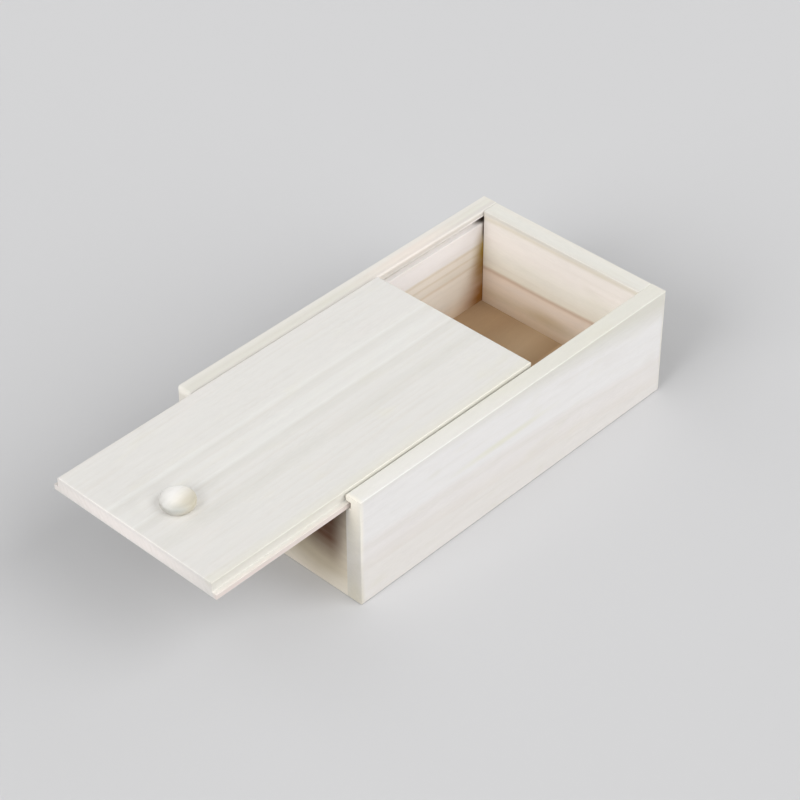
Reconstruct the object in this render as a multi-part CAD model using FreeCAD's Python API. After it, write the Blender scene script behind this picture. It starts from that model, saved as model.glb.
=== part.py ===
import FreeCAD, Part
import os

# Wooden box with a sliding lid, in millimetres.
# +Z is up, -Y is the front, where the lid slides out, and +X is the right-hand side.
# The origin is the centre of the box's underside.  The lid stands partly open.

# --- Driving dimensions -------------------------------------------------------------------

BOX_WIDTH = 111.5
BOX_LENGTH = 200.0
BOX_HEIGHT = 57.5
SIDE_THICKNESS = 8.4
END_THICKNESS = 9.5
BOTTOM_THICKNESS = 4.5

LIP_HEIGHT = 3.0          # wood left above each groove
GROOVE_HEIGHT = 3.6
GROOVE_DEPTH = 2.9
FRONT_DROP = 0.5          # front board's top, below the floor of the grooves

LID_LENGTH = 192.5
LID_THICKNESS = 7.7
FIELD_WIDTH = 93.2        # raised middle of the lid, which runs between the lips
TONGUE_REACH = 2.4        # each rebated edge, which runs in a groove
LEFT_REBATE_EXTRA = 0.3   # the left rebate is cut this much wider
TONGUE_THICKNESS = 2.8
RUNNING_GAP = 0.1         # under the tongues
LID_OPENING = 75.3        # how far the lid stands out over the front
LID_SKEW = 0.2            # degrees the loose lid has turned in its grooves, front end to the right

KNOB_DIAMETER = 15.6
KNOB_HEIGHT = 6.0
KNOB_UNDERSIDE_RADIUS = 2.8
KNOB_SIDE_HEIGHT = 1.0    # of the upright band between the underside and the shoulder
KNOB_SHOULDER_RADIUS = 1.3
KNOB_FROM_LID_FRONT = 22.3
KNOB_OFF_CENTRE = 3.2     # set by eye, a little to the right of the middle
TENON_RADIUS = 3.0
TENON_LENGTH = 5.0
TENON_HOLE_RADIUS = 3.05
TENON_HOLE_DEPTH = 5.4

BOARD_EASING = 0.4        # radius on the arrises of the boards
TONGUE_EASING = 0.25
LEFT_LIP_EASING = 1.0     # the left board's lip has been sanded rounder,
LEFT_CORNER_RADIUS = 2.5  # and so has its front top corner
END_CORNER_EASING = 0.8   # on the end boards' upright inner arrises, which leaves a fine gap in the corners

# --- Places that follow from them ---------------------------------------------------------

HALF_WIDTH = BOX_WIDTH / 2
HALF_LENGTH = BOX_LENGTH / 2
INNER_HALF_WIDTH = HALF_WIDTH - SIDE_THICKNESS
INNER_HALF_LENGTH = HALF_LENGTH - END_THICKNESS
GROOVE_TOP = BOX_HEIGHT - LIP_HEIGHT
GROOVE_FLOOR = GROOVE_TOP - GROOVE_HEIGHT
FRONT_HEIGHT = GROOVE_FLOOR - FRONT_DROP

LID_UNDERSIDE = GROOVE_FLOOR + RUNNING_GAP
LID_TOP = LID_UNDERSIDE + LID_THICKNESS
TONGUE_TOP = LID_UNDERSIDE + TONGUE_THICKNESS
LID_FRONT = -HALF_LENGTH - LID_OPENING
LID_MIDDLE = FreeCAD.Vector(0, LID_FRONT + LID_LENGTH / 2, 0)
KNOB_CENTRE = FreeCAD.Vector(KNOB_OFF_CENTRE, LID_FRONT + KNOB_FROM_LID_FRONT, LID_TOP)

NEAR = 1e-4               # tolerance for picking edges


def board(x_range, y_range, z_range):
    """A plain board between two limits on each axis."""
    corner = FreeCAD.Vector(x_range[0], y_range[0], z_range[0])
    size = [high - low for low, high in (x_range, y_range, z_range)]
    return Part.makeBox(*size, corner)


def moulding(section, y_start, length):
    """A length of board with the given outline of (x, z) points, run along Y."""
    points = [FreeCAD.Vector(x, y_start, z) for x, z in section]
    outline = Part.makePolygon(points + points[:1])
    return Part.Face(outline).extrude(FreeCAD.Vector(0, length, 0))


def eased(solid, radius, is_picked):
    """Round the straight edges whose two ends both pass the test."""
    edges = [edge for edge in solid.Edges if all(is_picked(v.Point) for v in edge.Vertexes)]
    return solid.makeFillet(radius, edges)


def at(value, *places):
    """True where the value is one of the places."""
    return any(abs(value - place) < NEAR for place in places)


def side_board(lip_easing):
    """The right side board, the full length of the box, with an open groove for the lid."""
    inner, outer = INNER_HALF_WIDTH, HALF_WIDTH
    groove_back = inner + GROOVE_DEPTH
    section = [
        (inner, 0), (outer, 0), (outer, BOX_HEIGHT), (inner, BOX_HEIGHT),
        (inner, GROOVE_TOP), (groove_back, GROOVE_TOP), (groove_back, GROOVE_FLOOR), (inner, GROOVE_FLOOR),
    ]
    side = moulding(section, -HALF_LENGTH, BOX_LENGTH)
    side = eased(side, lip_easing, lambda p: at(p.x, inner) and at(p.z, BOX_HEIGHT))
    return eased(side, BOARD_EASING, lambda p: at(p.x, outer))


def with_round_corner(side, radius):
    """The right side board with its front end rounded off at the top and the outer side."""
    outer, front, top = HALF_WIDTH, -HALF_LENGTH, BOX_HEIGHT
    envelope = board((INNER_HALF_WIDTH - radius, outer), (front, HALF_LENGTH + radius), (-radius, top))
    envelope = eased(envelope, radius, lambda p: at(p.y, front) and (at(p.z, top) or at(p.x, outer)))
    return side.common(envelope)


def end_board(y_range, height):
    """Board that closes one end, glued between the two side boards."""
    end = board((-INNER_HALF_WIDTH, INNER_HALF_WIDTH), y_range, (0, height))
    inner_face = min(y_range, key=abs)
    for x in (-INNER_HALF_WIDTH, INNER_HALF_WIDTH):
        end = eased(end, END_CORNER_EASING, lambda p: at(p.x, x) and at(p.y, inner_face))
    return eased(end, BOARD_EASING, lambda p: at(p.z, height) and at(p.y, *y_range))


def bottom_panel():
    """Thin panel let in between the four walls, level with their lower edges."""
    inside_x = (-INNER_HALF_WIDTH, INNER_HALF_WIDTH)
    inside_y = (-INNER_HALF_LENGTH, INNER_HALF_LENGTH)
    return board(inside_x, inside_y, (0, BOTTOM_THICKNESS))


def lid_panel():
    """Lid board, rebated along both long edges, with a blind hole for the knob's tenon."""
    field = FIELD_WIDTH / 2
    left_field = LEFT_REBATE_EXTRA - field
    edge = field + TONGUE_REACH
    section = [
        (-edge, LID_UNDERSIDE), (edge, LID_UNDERSIDE), (edge, TONGUE_TOP), (field, TONGUE_TOP),
        (field, LID_TOP), (left_field, LID_TOP), (left_field, TONGUE_TOP), (-edge, TONGUE_TOP),
    ]
    lid = moulding(section, LID_FRONT, LID_LENGTH)
    lid = eased(lid, BOARD_EASING, lambda p: at(p.z, LID_TOP))
    lid = eased(lid, TONGUE_EASING, lambda p: at(abs(p.x), edge) and at(p.z, LID_UNDERSIDE, TONGUE_TOP))
    hole_foot = KNOB_CENTRE - FreeCAD.Vector(0, 0, TENON_HOLE_DEPTH)
    return lid.cut(Part.makeCylinder(TENON_HOLE_RADIUS, TENON_HOLE_DEPTH, hole_foot))


def skewed(lid_piece):
    """Turn a piece of the lid about the lid's middle, by the little that its play allows."""
    return lid_piece.rotated(LID_MIDDLE, FreeCAD.Vector(0, 0, 1), LID_SKEW)


def arc(centre, start, end):
    """Arc about centre from start to end, the short way round."""
    radius = (start - centre).Length
    middle = centre + ((start - centre) + (end - centre)).normalize() * radius
    return Part.Arc(start, middle, end).toShape()


def lid_knob():
    """Turned button knob: a low domed head that narrows to a foot, and a tenon below it."""
    radius = KNOB_DIAMETER / 2
    side_top = FreeCAD.Vector(radius, 0, KNOB_UNDERSIDE_RADIUS + KNOB_SIDE_HEIGHT)
    side_foot = FreeCAD.Vector(radius, 0, KNOB_UNDERSIDE_RADIUS)
    shoulder = side_top - FreeCAD.Vector(KNOB_SHOULDER_RADIUS, 0, 0)
    under_centre = side_foot - FreeCAD.Vector(KNOB_UNDERSIDE_RADIUS, 0, 0)
    # The dome is a sphere that meets the rounded shoulder smoothly and passes through the crown.
    spare = KNOB_HEIGHT - shoulder.z - KNOB_SHOULDER_RADIUS
    dome_drop = (shoulder.x ** 2 - spare ** 2) / (2 * spare)
    dome_centre = FreeCAD.Vector(0, 0, shoulder.z - dome_drop)
    meeting = shoulder + (shoulder - dome_centre).normalize() * KNOB_SHOULDER_RADIUS

    crown = FreeCAD.Vector(0, 0, KNOB_HEIGHT)
    foot = FreeCAD.Vector(under_centre.x, 0, 0)
    tenon_shoulder = FreeCAD.Vector(TENON_RADIUS, 0, 0)
    tenon_edge = FreeCAD.Vector(TENON_RADIUS, 0, -TENON_LENGTH)
    tenon_end = FreeCAD.Vector(0, 0, -TENON_LENGTH)

    top = [arc(dome_centre, crown, meeting), arc(shoulder, meeting, side_top)]
    side = Part.makePolygon([side_top, side_foot])
    underside = arc(under_centre, side_foot, foot)
    stem = Part.makePolygon([foot, tenon_shoulder, tenon_edge, tenon_end, crown])
    outline = Part.Wire([*top, *side.Edges, underside, *stem.Edges])
    knob = Part.Face(outline).revolve(FreeCAD.Vector(), FreeCAD.Vector(0, 0, 1), 360)
    knob.translate(KNOB_CENTRE)
    return knob


def build():
    """Every piece of the box by name."""
    left = with_round_corner(side_board(LEFT_LIP_EASING), LEFT_CORNER_RADIUS)
    return {
        "side_right": side_board(BOARD_EASING),
        "side_left": left.mirror(FreeCAD.Vector(), FreeCAD.Vector(1, 0, 0)),
        "end_back": end_board((INNER_HALF_LENGTH, HALF_LENGTH), BOX_HEIGHT),
        "end_front": end_board((-HALF_LENGTH, -INNER_HALF_LENGTH), FRONT_HEIGHT),
        "bottom_panel": bottom_panel(),
        "lid_panel": skewed(lid_panel()),
        "lid_knob": skewed(lid_knob()),
    }


os.makedirs("parts", exist_ok=True)
for name, shape in build().items():
    shape.exportStep(f"parts/{name}.step")
    box = shape.optimalBoundingBox(False, False)
    print(f"{name:13s} solids {len(shape.Solids)} valid {shape.isValid()} volume {shape.Volume:9.1f} mm3")
    print(f"    x {box.XMin:.2f}..{box.XMax:.2f} y {box.YMin:.2f}..{box.YMax:.2f} z {box.ZMin:.2f}..{box.ZMax:.2f}")
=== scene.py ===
import math

import bpy
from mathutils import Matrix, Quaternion, Vector


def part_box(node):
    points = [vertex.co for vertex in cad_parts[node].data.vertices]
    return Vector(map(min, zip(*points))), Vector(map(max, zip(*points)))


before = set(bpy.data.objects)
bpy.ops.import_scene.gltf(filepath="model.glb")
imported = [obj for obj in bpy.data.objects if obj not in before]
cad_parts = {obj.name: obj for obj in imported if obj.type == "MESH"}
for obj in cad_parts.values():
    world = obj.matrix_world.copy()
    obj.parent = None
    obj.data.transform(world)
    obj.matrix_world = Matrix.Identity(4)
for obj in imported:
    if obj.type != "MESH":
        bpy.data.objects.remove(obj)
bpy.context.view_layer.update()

# Sliding lid box of bare paulownia.  Materials work in millimetres of the CAD frame: +Z up,
# -Y the front, +X the right-hand side, origin under the middle of the box.

MM = 0.001

# --- Camera: the photograph's view ----------------------------------------------------------

VIEW_AZIMUTH = 43.533     # degrees round from the front towards the right
VIEW_ELEVATION = 39.224
VIEW_ROLL = -0.183
VIEW_DISTANCE = 1.1153    # metres from the target
VIEW_TARGET = Vector((-5.93, -11.20, 25.06)) * MM
LENS = 111.093            # millimetres
CLIP_START, CLIP_END = 0.05, 200    # metres

# --- Light ----------------------------------------------------------------------------------

# Name, azimuth, elevation, level and softness.  Angles are in degrees, and all the levels and
# the world together light a level surface about as its colour is written.
LAMPS = (
    ("front_high", 20, 45, 0.17, 50),
    ("front", 0, 29, 0.49, 34),
    ("left", 300, 26, 0.25, 60),
    ("right", 110, 29, 0.82, 66),
    ("back", 180, 20, 0.10, 50),
)
LAMP_DISTANCE = 2         # metres; a sun lamp shines the same from any distance
TENT_LIGHT = 0.17         # the world's strength as light
TENT_SEEN = 0.66          # and as the backdrop that the camera sees
WHITE_LIGHT = (1, 1, 1, 1)

# --- Floor ----------------------------------------------------------------------------------

FLOOR_GREY = (206, 206, 207)      # as the camera sees it
FLOOR_BOUNCE = (124, 124, 124)    # as it lights the box
FLOOR_ROUGHNESS = 0.9
FLOOR_SPECULAR = 0.1
FLOOR_RADIUS = 60                 # metres
FLOOR_CORNERS = 96
FLOOR_DROP = 0.2                  # millimetres under the box

# --- Colours of the wood, as sRGB bytes -----------------------------------------------------

CREAM = (222, 220, 216)
BUTTER = (222, 220, 211)
MILK = (226, 225, 221)
DIM = (218, 216, 211)
ROSE = (225, 219, 214)
STRAW = (222, 219, 200)
SAND = (212, 188, 160)
TAN = (184, 155, 122)
GROWTH = (204, 194, 178)   # the darker wood of a growth line
CREVICE_SHADE = (74, 56, 42)     # painted shade for the dark inside of a narrow gap

# --- Marks in the wood ----------------------------------------------------------------------

# Length along the grain and width across it, in millimetres, and the mark's random draw.
LAYER_WAVES = (60, 16, 0)
LAYER_EDGES = (7, 1.0, 3)
ROSY_CLOUDS = (22, 9, 7)
STRAW_CLOUDS = (19, 8, 11)
PATCH_CLOUDS = (12, 4, 13)
CLEAR_PLACES = (40, 7, 9)      # where a growth line is clear, between faint stretches
LIVELY_PLACES = (35, 14, 15)   # where the dashes are strongest
FIBRES = (38, 0.8, 17)
DASHES = (3.5, 0.8, 19)
STREAKS = (13, 2.2, 21)
PORES = (3, 0.35, 23)

# Noise values between which a mark sets in.
ROSY_ONSET = (0.05, 0.7)
STRAW_ONSET = (0.1, 0.7)
CLEAR_ONSET = (-0.35, 0.5)
LIVELY_ONSET = (-0.4, 0.5)
PORE_ONSET = (0.3, 0.6)

FAINT_TO_CLEAR = (0.15, 1.0)
DULL_TO_LIVELY = (0.4, 1.3)
PORES_ANYWHERE, PORES_IN_LINES = 0.3, 0.8
EDGE_RAGGEDNESS = 0.45         # millimetres
PATCH_UNEVENNESS = 0.25

# The widths of the years stay alike along YEARS_LENGTH millimetres.  Across the grain they vary
# by YEARS_UNEVENNESS within YEARS_WIDTH, both in spacings.
YEARS_LENGTH, YEARS_WIDTH, YEARS_UNEVENNESS, YEARS_DRAW = 400, 2.5, 1.2, 5
LINE_BEGIN, LINE_PEAK, LINE_END = 0.3, 0.9, 1.0    # of a growth line, as parts of its year

# How much each kind of mark shades, roughens and raises or sinks the surface.
FIBRE_SHADE, DASH_SHADE, STREAK_SHADE, PORE_SHADE = 0.010, 0.045, 0.026, 0.06
WOOD_ROUGHNESS, FIBRE_ROUGHNESS, PORE_ROUGHNESS = 0.7, 0.06, 0.12
FIBRE_HEIGHT, DASH_HEIGHT, LINE_DEPTH, PORE_DEPTH = 0.4, 0.3, 0.6, 1.5
RELIEF = 0.05                  # millimetres that a height of 1 stands for
WOOD_SPECULAR = 0.3

OUTSIDE = 0.5                  # millimetres by which a stain on an outer face is centred outside it


# --- Shader arithmetic ----------------------------------------------------------------------

def linear(rgb):
    """sRGB bytes as the linear colour that a shader takes."""
    parts = [c / 255 for c in rgb]
    return [c / 12.92 if c <= 0.04045 else ((c + 0.055) / 1.055) ** 2.4 for c in parts] + [1.0]


def plug(tree, value, socket):
    """Give a socket a field or a constant."""
    if isinstance(value, Field):
        tree.links.new(value.socket, socket)
    else:
        socket.default_value = value


class Field:
    """A value that varies over a surface; sums and products of fields are Math nodes."""

    def __init__(self, tree, socket):
        self.tree = tree
        self.socket = socket

    def math(self, operation, *others):
        node = self.tree.nodes.new("ShaderNodeMath")
        node.operation = operation
        for value, socket in zip((self, *others), node.inputs):
            plug(self.tree, value, socket)
        return Field(self.tree, node.outputs[0])

    def __add__(self, other):
        return self.math("ADD", other)

    def __sub__(self, other):
        return self.math("SUBTRACT", other)

    def __mul__(self, other):
        return self.math("MULTIPLY", other)

    def step(self, low, high, start=0.0, end=1.0):
        """Smoothly from start at low to end at high."""
        node = self.tree.nodes.new("ShaderNodeMapRange")
        node.interpolation_type = "SMOOTHSTEP"
        for value, socket in zip((self, low, high, start, end), node.inputs):
            plug(self.tree, value, socket)
        return Field(self.tree, node.outputs[0])


class Surface:
    """A new material, with the place on the surface in millimetres as x, y and z."""

    def __init__(self, name):
        self.material = bpy.data.materials.new(name)
        self.material.use_nodes = True
        self.tree = self.material.node_tree
        self.shader = self.tree.nodes["Principled BSDF"]
        place = self.tree.nodes.new("ShaderNodeTexCoord").outputs["Object"]
        self.place = self.vector("SCALE", Field(self.tree, place), scale=1 / MM)
        self.x, self.y, self.z = self.split(self.place)

    def split(self, vector):
        node = self.tree.nodes.new("ShaderNodeSeparateXYZ")
        plug(self.tree, vector, node.inputs[0])
        return [Field(self.tree, out) for out in node.outputs]

    def vector(self, operation, a, b=None, scale=None, output="Vector"):
        node = self.tree.nodes.new("ShaderNodeVectorMath")
        node.operation = operation
        plug(self.tree, a, node.inputs[0])
        if b is not None:
            plug(self.tree, b, node.inputs[1])
        if scale is not None:
            plug(self.tree, scale, node.inputs["Scale"])
        return Field(self.tree, node.outputs[output])

    def noise(self, size, seed, detail=2.0, roughness=0.5):
        """Smooth noise from -1 to 1 whose lumps measure size millimetres along x, y and z."""
        node = self.tree.nodes.new("ShaderNodeTexNoise")
        node.noise_dimensions = "4D"
        scaled = self.vector("MULTIPLY", self.place, tuple(1 / s for s in size))
        plug(self.tree, scaled, node.inputs["Vector"])
        node.inputs["W"].default_value = seed
        node.inputs["Scale"].default_value = 1.0
        node.inputs["Detail"].default_value = detail
        node.inputs["Roughness"].default_value = roughness
        return Field(self.tree, node.outputs["Fac"]) * 2.0 - 1.0

    def blot(self, centre, reach):
        """1 at the centre, falling to 0 at reach millimetres from it along x, y and z."""
        offset = self.vector("SUBTRACT", self.place, centre)
        scaled = self.vector("MULTIPLY", offset, tuple(1 / r for r in reach))
        return self.vector("LENGTH", scaled, output="Value").step(0.0, 1.0, 1.0, 0.0)

    def ramp(self, field, stops):
        """Colours set along a field: (place, sRGB colour) stops in rising order."""
        low, high = stops[0][0], stops[-1][0]
        spread = self.tree.nodes.new("ShaderNodeMapRange")
        for value, socket in zip((field, low, high), spread.inputs):
            plug(self.tree, value, socket)
        node = self.tree.nodes.new("ShaderNodeValToRGB")
        self.tree.links.new(spread.outputs[0], node.inputs[0])
        elements = node.color_ramp.elements
        elements[0].color, elements[1].color = linear(stops[0][1]), linear(stops[-1][1])
        for place, colour in stops[1:-1]:
            elements.new((place - low) / (high - low)).color = linear(colour)
        return Field(self.tree, node.outputs["Color"])

    def blend(self, a, b, amount):
        """Colour a turning to sRGB colour b by amount."""
        node = self.tree.nodes.new("ShaderNodeMix")
        node.data_type = "RGBA"
        plug(self.tree, amount, node.inputs["Factor"])
        plug(self.tree, a, node.inputs["A"])
        node.inputs["B"].default_value = linear(b)
        return Field(self.tree, node.outputs["Result"])

    def bump(self, height, distance):
        node = self.tree.nodes.new("ShaderNodeBump")
        node.inputs["Strength"].default_value = 1.0
        node.inputs["Distance"].default_value = distance * MM
        plug(self.tree, height, node.inputs["Height"])
        self.tree.links.new(node.outputs["Normal"], self.shader.inputs["Normal"])


# --- Wood -----------------------------------------------------------------------------------

def along(grain, length, width):
    """Size along x, y and z of a mark that lies along the grain."""
    return [length if axis == grain else width for axis in "xyz"]


def paulownia(name, grain, tones, layer, seed, spacing, figure, waviness=0.7, drift=0.25, stains_and_painted_light=()):
    """Bare sanded paulownia.

    tones are colours through the growth layers, and layer says which layer a place is in, both in
    millimetres.  spacing is the usual width of a year's growth, and figure how dark its line is.
    waviness (in millimetres) sets how lively the layers are, and drift how much the colour wanders.
    The list of stains and painted light holds (centre, reach, colour, strength) of places with a colour
    of their own, or with painted light or shade.
    """
    s = Surface(name)

    def marks(length, width, draw, **options):
        """Noise that lies along the grain."""
        return s.noise(along(grain, length, width), seed + draw, **options)

    waves = marks(*LAYER_WAVES, detail=1) * waviness
    ragged = marks(*LAYER_EDGES) * EDGE_RAGGEDNESS
    depth = layer(s.x, s.y, s.z) + waves + ragged
    colour = s.ramp(depth, tones)

    rosy = marks(*ROSY_CLOUDS, detail=1).step(*ROSY_ONSET, 0.0, drift)
    colour = s.blend(colour, ROSE, rosy)
    straw = marks(*STRAW_CLOUDS, detail=1).step(*STRAW_ONSET, 0.0, drift)
    colour = s.blend(colour, STRAW, straw)
    # Stains, and patches of painted light and shade, each blended in over its blot
    for centre, reach, patch_colour, strength in stains_and_painted_light:
        cloud = marks(*PATCH_CLOUDS) * PATCH_UNEVENNESS + 1.0
        colour = s.blend(colour, patch_colour, s.blot(centre, reach) * cloud * strength)

    # A growth line darkens slowly on one side and ends sharply on the other.
    uneven = marks(YEARS_LENGTH, YEARS_WIDTH * spacing, YEARS_DRAW, detail=1)
    uneven = uneven * (YEARS_UNEVENNESS * spacing)
    year = ((depth + uneven) * (1 / spacing)).math("FRACT")
    line = year.step(LINE_BEGIN, LINE_PEAK) - year.step(LINE_PEAK, LINE_END)
    line = line * marks(*CLEAR_PLACES).step(*CLEAR_ONSET, *FAINT_TO_CLEAR)
    colour = s.blend(colour, GROWTH, line * figure)

    fibres = marks(*FIBRES, detail=3, roughness=0.65)
    lively = marks(*LIVELY_PLACES, detail=1).step(*LIVELY_ONSET, *DULL_TO_LIVELY)
    dashes = marks(*DASHES, detail=2, roughness=0.6) * lively
    streaks = marks(*STREAKS, detail=1)
    pores = marks(*PORES, detail=1).step(*PORE_ONSET) * (line * PORES_IN_LINES + PORES_ANYWHERE)
    shade = fibres * FIBRE_SHADE + dashes * DASH_SHADE + streaks * STREAK_SHADE - pores * PORE_SHADE
    colour = s.vector("SCALE", colour, scale=shade + 1.0)

    rough = fibres * FIBRE_ROUGHNESS + pores * PORE_ROUGHNESS + WOOD_ROUGHNESS
    height = fibres * FIBRE_HEIGHT + dashes * DASH_HEIGHT - line * LINE_DEPTH - pores * PORE_DEPTH
    plug(s.tree, colour, s.shader.inputs["Base Color"])
    plug(s.tree, rough, s.shader.inputs["Roughness"])
    s.shader.inputs["Specular IOR Level"].default_value = WOOD_SPECULAR
    s.bump(height, RELIEF)
    return s.material


# --- Boards and knob ------------------------------------------------------------------------

# In each board, slope is how fast the layers follow one another along it, bend how that changes,
# and lean how fast they follow one another into the wood.

def corners(node):
    """Lowest corner, highest corner and middle of a CAD node, in millimetres."""
    low, high = (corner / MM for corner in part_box(node))
    return low, high, (low + high) / 2


def side_right_wood():
    """Outer face: a growth line that falls to the back, greyer over it and warmer under it."""
    low, high, middle = corners("side_right")
    above, between, below = (237, 235, 234), (235, 231, 229), (232, 228, 224)
    slope, bend, lean = 0.065, 0.00028, 0.45
    tones = [
        (-30, below), (13, below), (14.5, (231, 226, 221)), (24, between),
        (27, (231, 227, 223)),  # the growth line
        (29, between), (31, above), (50, above), (60, BUTTER), (75, BUTTER),
    ]
    stains_and_painted_light = [
        ((high.x, -10, 36.5), (4, 45, 3), (231, 229, 214), 0.8),  # straw patch above the line
        ((middle.x, low.y, 44), (12, 3, 38), (252, 246, 232), 1.0),  # painted light on the front end, strongest high up where the lid shades it
        ((middle.x, low.y, low.z), (12, 3, 30), (222, 216, 200), 1.0),  # and painted shade at its foot
        ((middle.x, high.y + OUTSIDE, middle.z), (12, 3, 60), (224, 220, 212), 1.8),  # back end
    ]
    return paulownia(
        "side_right_wood", "y", tones,
        lambda x, y, z: z + y * slope + y * y * bend - (x - high.x) * lean,
        seed=1.3, spacing=6.5, figure=0.08, stains_and_painted_light=stains_and_painted_light,
    )


def side_left_wood():
    """Inner face: thin lines two thirds up, peach wood low down, painted shade on olive wood in the back
    corner.
    """
    low, high, middle = corners("side_left")
    # arris is painted shade that damps the highlight on the lip's rounded inner edge.
    upper, between, arris = (244, 240, 239), (242, 234, 223), (215, 211, 205)
    slope, lean = 0.01, 1.4
    # The palest tones, 8 to 27 mm up, are painted light where the lid and the right wall shade the wall.
    tones = [
        (-10, SAND), (0, (228, 205, 176)), (8, (242, 228, 211)), (15, (250, 243, 233)),
        (26.6, (249, 241, 230)),
        (27.8, (232, 218, 199)),  # the lowest line
        (29, between), (32, between),
        (33, (231, 220, 202)),  # the middle line
        (34, (242, 234, 224)), (36.4, between),
        (37.7, (229, 218, 201)),  # the highest line
        (39.2, upper), (53.8, upper), (54.6, arris), (58.8, arris),
        (61, BUTTER), (64, (218, 215, 206)), (80, BUTTER),
    ]
    stains_and_painted_light = [
        ((middle.x, 42, high.z), (9, 50, 4), (234, 222, 213), 0.8),  # rosy top edge
        ((low.x - OUTSIDE, 0, middle.z), (6, 400, 60), (227, 224, 218), 1.8),  # plain outer face
        ((high.x, high.y - 2, low.z), (2, 30, 42), (162, 109, 47), 1.5),  # painted shade, brown, at the foot of the back corner
        ((high.x, high.y - 2, 34), (2, 17, 22), (165, 135, 52), 1.8),  # olive wood above it, darkened by painted shade
        ((high.x, high.y - 8, 24), (2, 14, 14), (156, 114, 46), 0.9),  # painted shade where the two meet
        ((middle.x, high.y + OUTSIDE, middle.z), (12, 3, 60), (222, 218, 209), 1.8),  # back end
        ((middle.x, low.y - OUTSIDE, middle.z), (12, 3, 60), (229, 224, 215), 1.6),  # front end
        ((high.x, high.y - 9, 47), (3, 2.2, 10), CREVICE_SHADE, 1.0),  # painted shade in the gap of the corner
        ((high.x - 2.15, high.y - 7, 51.5), (4, 8.5, 2.4), CREVICE_SHADE, 1.2),  # painted shade in the back end of the groove
    ]
    return paulownia(
        "side_left_wood", "y", tones,
        lambda x, y, z: z - y * slope - (x - high.x) * lean,
        seed=5.1, spacing=5.0, figure=0.10, waviness=0.9, stains_and_painted_light=stains_and_painted_light,
    )


def end_back_wood():
    """Inner face: an olive line under the top and a brown line at half height, peach below it."""
    low, high, middle = corners("end_back")
    upper, arris, top = (244, 238, 232), (220, 216, 208), (223, 221, 214)
    slope, lean = 0.018, 1.2
    tones = [
        (-10, TAN), (4, (224, 203, 177)), (9, (238, 219, 197)), (12.5, (231, 214, 190)),
        (16, (241, 225, 207)), (21, (246, 231, 217)), (24, (244, 227, 212)),
        (25.7, (214, 190, 168)),  # the brown line
        (27.4, (241, 235, 221)), (36, (241, 237, 227)), (44, upper), (53.2, upper),
        (55, (229, 222, 208)), (56.2, (230, 224, 214)),  # the olive line
        (57.1, arris), (58.2, arris), (59.5, top), (80, top),
    ]
    stains_and_painted_light = [
        ((-5, low.y, 13.5), (20, 3, 6), (208, 184, 146), 0.55),  # olive patch low down
        ((0, high.y + OUTSIDE, middle.z), (300, 6, 70), (226, 223, 215), 1.8),  # plain outer face
    ]
    return paulownia(
        "end_back_wood", "x", tones,
        lambda x, y, z: z - x * slope + (y - low.y) * lean,
        seed=9.7, spacing=5.5, figure=0.10, waviness=1.2, stains_and_painted_light=stains_and_painted_light,
    )


def end_front_wood():
    """Outer face: layers that curve round a brown painted shadow of the lid, paler at the right."""
    low, high, _ = corners("end_front")
    pale, straw, lid_shadow_brown = (238, 228, 212), (210, 196, 172), (122, 86, 65)
    slope, bend, lean = 0.02, 0.007, 0.5
    lowest = 44  # where the curved layers come lowest
    # From pale through straw to the brown of the painted lid shadow.
    tones = [(-60, CREAM), (-4, pale), (8, straw), (12, straw), (26, lid_shadow_brown), (60, lid_shadow_brown)]
    stains_and_painted_light = [
        ((high.x + 1.65, low.y, 20), (12, 8, 70), (236, 225, 205), 0.95),  # paler right end, where the painted lid shadow fades
        ((high.x, low.y, low.z), (22, 8, 14), (242, 234, 219), 1.0),  # and its foot, where it fades too
        ((0, low.y, 45), (34, 8, 38), (214, 196, 170), 0.7),  # painted lid shadow, straw-coloured, over the middle
    ]
    return paulownia(
        "end_front_wood", "x", tones,
        lambda x, y, z: z - x * slope - (x - lowest) * (x - lowest) * bend - (y - low.y) * lean,
        seed=13.9, spacing=5.0, figure=0.15, waviness=1.0, drift=0.05, stains_and_painted_light=stains_and_painted_light,
    )


def bottom_wood():
    """Browner floor board with soft streaks."""
    palest, pale, brown = (227, 199, 163), (204, 178, 145), (186, 157, 123)
    slope = 0.04
    tones = [
        (-60, TAN), (-38, TAN), (-30, brown), (-24, TAN), (-5, pale), (6, brown),
        (8, pale), (20, palest), (34, palest), (60, pale),
    ]
    return paulownia(
        "bottom_wood", "y", tones,
        lambda x, y, z: x + y * slope,
        seed=17.3, spacing=6.0, figure=0.0, waviness=3.0, drift=0.0,
    )


def lid_wood():
    """Faint growth lines along the middle and plainer wood outside them."""
    low, high, middle = corners("lid_panel")
    _, _, knob = corners("lid_knob")
    pale = (241, 239, 235)
    slope, lean = 0.008, 0.7
    tones = [
        (-56, ROSE), (-44, CREAM), (-20, CREAM), (-17, MILK), (-14, DIM), (-11, CREAM),
        (-7, MILK), (-5, CREAM), (-1.5, MILK), (0.5, DIM), (3, DIM), (4.5, CREAM),
        (10, CREAM), (13, DIM), (17, DIM), (20, CREAM), (40, CREAM), (54, STRAW),
    ]
    stains_and_painted_light = [
        ((0, low.y - OUTSIDE, middle.z), (90, 1.8, 9), (252, 245, 241), 1.6),  # painted light on the front end
        ((high.x + OUTSIDE, middle.y, low.z + 1.3), (3.5, 500, 3), (244, 221, 217), 0.6),  # rosy right tongue, lighter by painted light
        ((knob.x - 7.7, knob.y - 4.5, high.z), (12, 11, 3), pale, 1.1),  # painted light over the knob's shadow on its left
        ((knob.x + 2.7, knob.y + 8.2, high.z), (9.5, 11, 3), pale, 0.95),  # painted light over the knob's shadow behind it
    ]
    return paulownia(
        "lid_wood", "y", tones,
        lambda x, y, z: x + y * slope + (z - high.z) * lean,
        seed=21.1, spacing=3.6, figure=0.14, waviness=1.3, stains_and_painted_light=stains_and_painted_light,
    )


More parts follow.
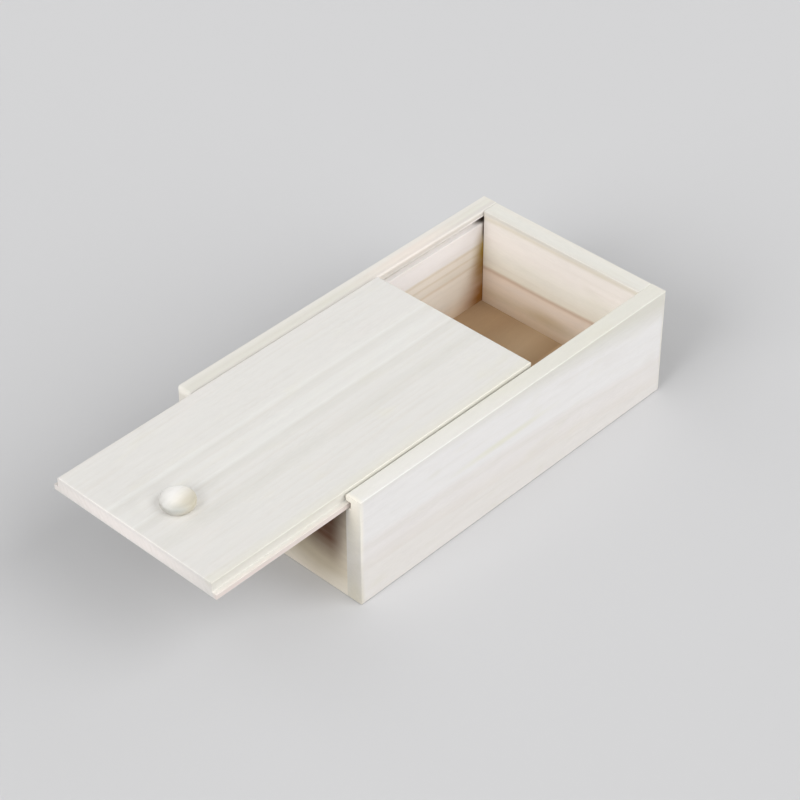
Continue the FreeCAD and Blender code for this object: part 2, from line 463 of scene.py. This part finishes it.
def knob_wood():
    """Turned wood, pale on the left and straw on the right; painted shade darkens its right and front."""
    _, high, middle = corners("lid_knob")
    pale = (246, 244, 240)
    to_right, to_back = 0.95, 0.3  # how fast the layers follow one another those ways
    # The tones darken towards the right as painted shade; their straw tint is the wood's own.
    tones = [
        (-8, pale), (-2, pale), (1.4, (233, 229, 219)), (4, (212, 206, 191)),
        (7, (193, 187, 169)), (9, (188, 182, 164)),
    ]
    stains_and_painted_light = [
        ((middle.x - 3.5, middle.y - 7, high.z - 3.7), (18, 16, 4.5), (180, 178, 172), 1.5),  # painted shade on the front side
        ((middle.x + 5.5, middle.y - 5.5, high.z - 1.9), (8, 8, 2.2), (178, 180, 176), 0.8),  # painted shade on the shoulder
    ]
    return paulownia(
        "knob_wood", "y", tones,
        lambda x, y, z: (x - middle.x) * to_right + (y - middle.y) * to_back,
        seed=25.7, spacing=3.0, figure=0.12, waviness=0.5, drift=0.1, stains_and_painted_light=stains_and_painted_light,
    )


WOODS = {
    "side_right": side_right_wood,
    "side_left": side_left_wood,
    "end_back": end_back_wood,
    "end_front": end_front_wood,
    "bottom_panel": bottom_wood,
    "lid_panel": lid_wood,
    "lid_knob": knob_wood,
}


def dress():
    """Give each CAD node its wood."""
    for name, make in WOODS.items():
        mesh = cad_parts[name].data
        mesh.materials.clear()
        mesh.materials.append(make())


# --- Stage ----------------------------------------------------------------------------------

def seen_directly(tree):
    """1 where the camera looks, also in a reflection or through glass, and 0 for light that bounces."""
    path = tree.nodes.new("ShaderNodeLightPath")
    camera, glossy, transmission = (
        Field(tree, path.outputs[f"Is {kind} Ray"]) for kind in ("Camera", "Glossy", "Transmission")
    )
    return camera.math("MAXIMUM", glossy).math("MAXIMUM", transmission)


def floor_material():
    """Plain grey that gives back less light than it shows, as a light tent's table does."""
    material = bpy.data.materials.new("floor_grey")
    material.use_nodes = True
    tree = material.node_tree
    colour = tree.nodes.new("ShaderNodeMix")
    colour.data_type = "RGBA"
    colour.inputs["A"].default_value = linear(FLOOR_BOUNCE)
    colour.inputs["B"].default_value = linear(FLOOR_GREY)
    tree.links.new(seen_directly(tree).socket, colour.inputs["Factor"])
    shader = tree.nodes["Principled BSDF"]
    tree.links.new(colour.outputs["Result"], shader.inputs["Base Color"])
    shader.inputs["Roughness"].default_value = FLOOR_ROUGHNESS
    shader.inputs["Specular IOR Level"].default_value = FLOOR_SPECULAR
    return material


def make_floor():
    """Plain pale floor, out to where it meets the world's own grey."""
    bpy.ops.mesh.primitive_circle_add(
        vertices=FLOOR_CORNERS, radius=FLOOR_RADIUS, fill_type="NGON", location=(0, 0, -FLOOR_DROP * MM)
    )
    floor = bpy.context.object
    floor.name = "floor"
    floor.data.materials.append(floor_material())


def make_world():
    """Soft white light from all round, as in a light tent."""
    world = bpy.data.worlds.new("tent")
    world.use_nodes = True
    tree = world.node_tree
    background = tree.nodes["Background"]
    strength = seen_directly(tree).step(0, 1, TENT_LIGHT, TENT_SEEN)
    tree.links.new(strength.socket, background.inputs["Strength"])
    background.inputs["Color"].default_value = WHITE_LIGHT
    bpy.context.scene.world = world


def direction(azimuth, elevation):
    """Unit vector from the box towards that side; azimuth 0 is the front and 90 the right."""
    around, up = math.radians(azimuth), math.radians(elevation)
    return Vector((math.sin(around) * math.cos(up), -math.cos(around) * math.cos(up), math.sin(up)))


def make_lamp(name, azimuth, elevation, level, softness):
    """Large far lamp that shines on the box from that side."""
    lamp = bpy.data.lights.new(name, "SUN")
    lamp.energy = level * math.pi
    lamp.angle = math.radians(softness)
    towards = direction(azimuth, elevation)
    holder = bpy.data.objects.new(name, lamp)
    holder.location = towards * LAMP_DISTANCE
    holder.rotation_mode = "QUATERNION"
    holder.rotation_quaternion = towards.to_track_quat("Z", "Y")
    bpy.context.scene.collection.objects.link(holder)


def make_camera():
    """The photograph's camera."""
    camera = bpy.data.objects.new("camera", bpy.data.cameras.new("camera"))
    towards = direction(VIEW_AZIMUTH, VIEW_ELEVATION)
    camera.location = VIEW_TARGET + towards * VIEW_DISTANCE
    camera.rotation_mode = "QUATERNION"
    roll = Quaternion((0, 0, 1), math.radians(VIEW_ROLL))
    camera.rotation_quaternion = towards.to_track_quat("Z", "Y") @ roll
    camera.data.lens = LENS
    camera.data.clip_start, camera.data.clip_end = CLIP_START, CLIP_END
    bpy.context.scene.collection.objects.link(camera)
    bpy.context.scene.camera = camera


dress()
make_floor()
make_world()
for lamp in LAMPS:
    make_lamp(*lamp)
make_camera()
bpy.context.scene.view_settings.view_transform = "Standard"
